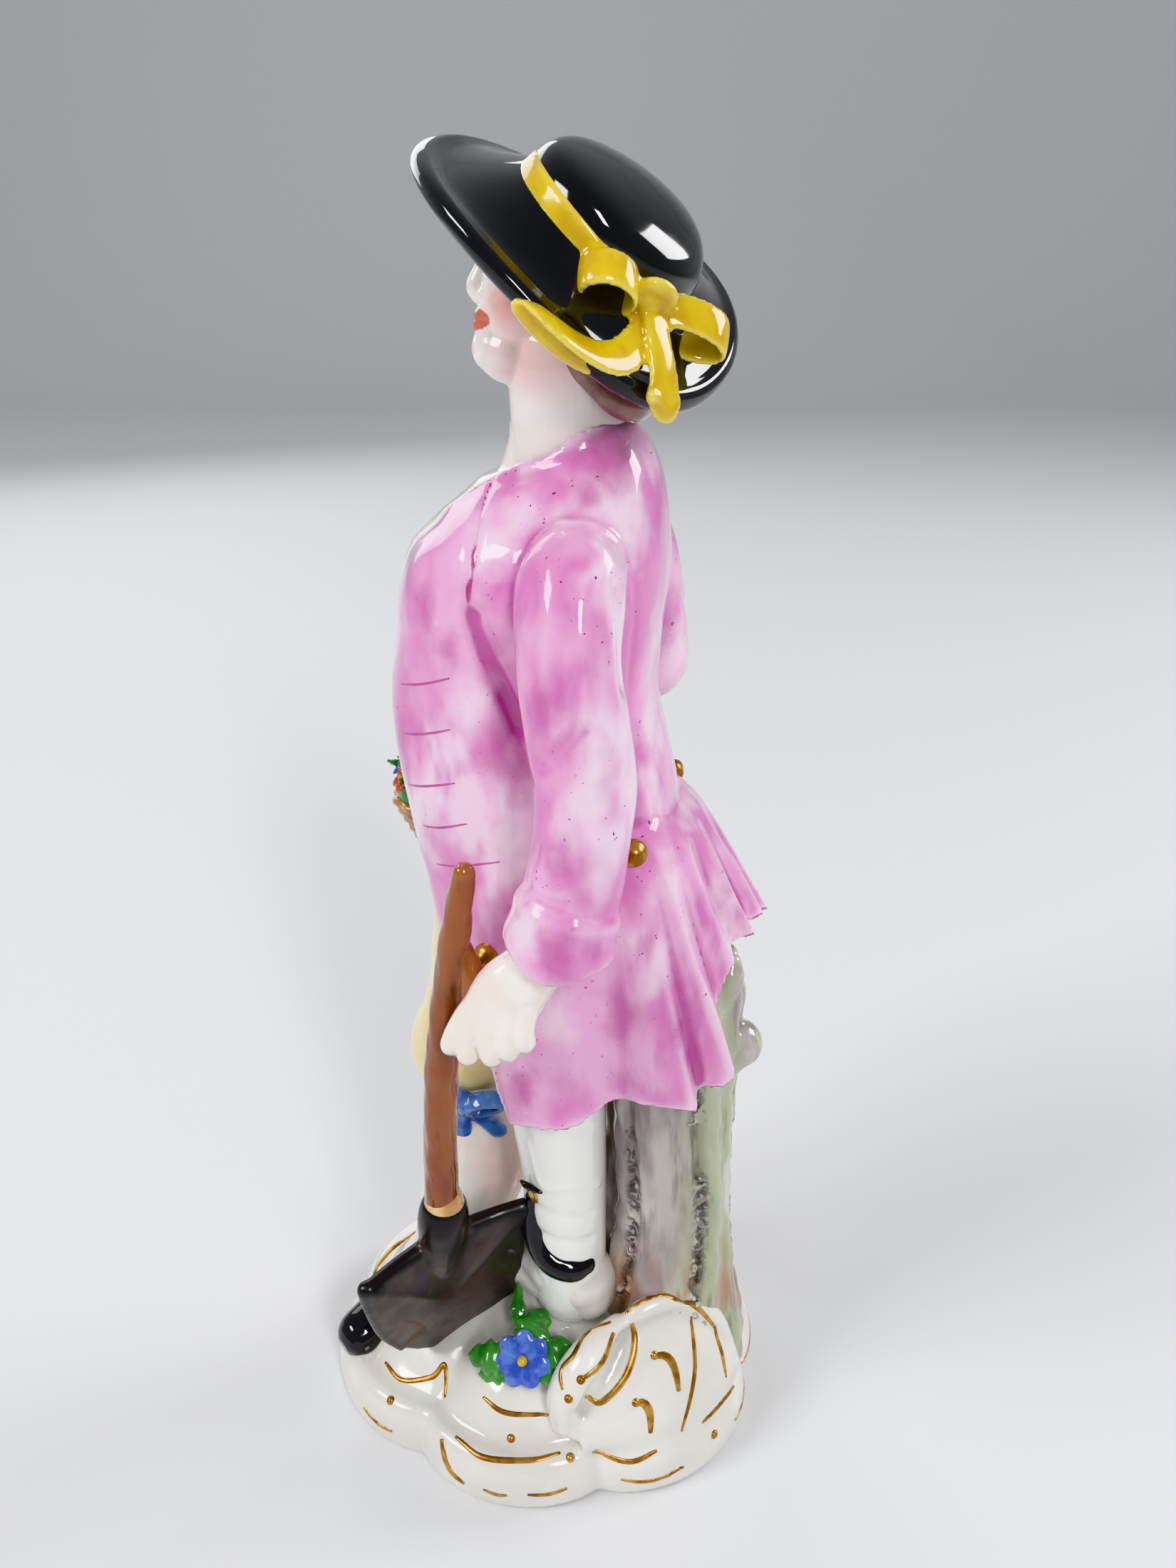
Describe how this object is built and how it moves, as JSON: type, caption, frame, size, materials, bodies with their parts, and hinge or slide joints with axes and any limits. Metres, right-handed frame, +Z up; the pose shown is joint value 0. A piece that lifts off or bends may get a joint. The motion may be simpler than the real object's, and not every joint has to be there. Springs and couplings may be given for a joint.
{
  "type": "porcelain gardener figure",
  "caption": "Standing porcelain gardener in frock coat and brimmed hat, with spade and flower basket, beside a tree stump on a lobed scroll base.",
  "frame": {"origin": "middle of the flat underside of the base", "axes": "+Z up; the figure faces -Y; its left hand, holding the spade, is on +X"},
  "size_m": [0.063, 0.0706, 0.1912],
  "materials": {
    "porcelain": "white glazed hard-paste porcelain with gilt lines",
    "coat_enamel": "mottled puce enamel over white glaze",
    "black_enamel": "glossy black enamel",
    "yellow_enamel": "glossy yellow enamel",
    "brown_enamel": "streaked glossy brown enamel",
    "bark_enamel": "washed grey, brown and green enamel",
    "flower_enamel": "blue, green, red and yellow enamels",
    "gilding": "burnished gilding"
  },
  "bodies": {
    "root": {"gardener_figure": "porcelain"}
  },
  "joints": []
}
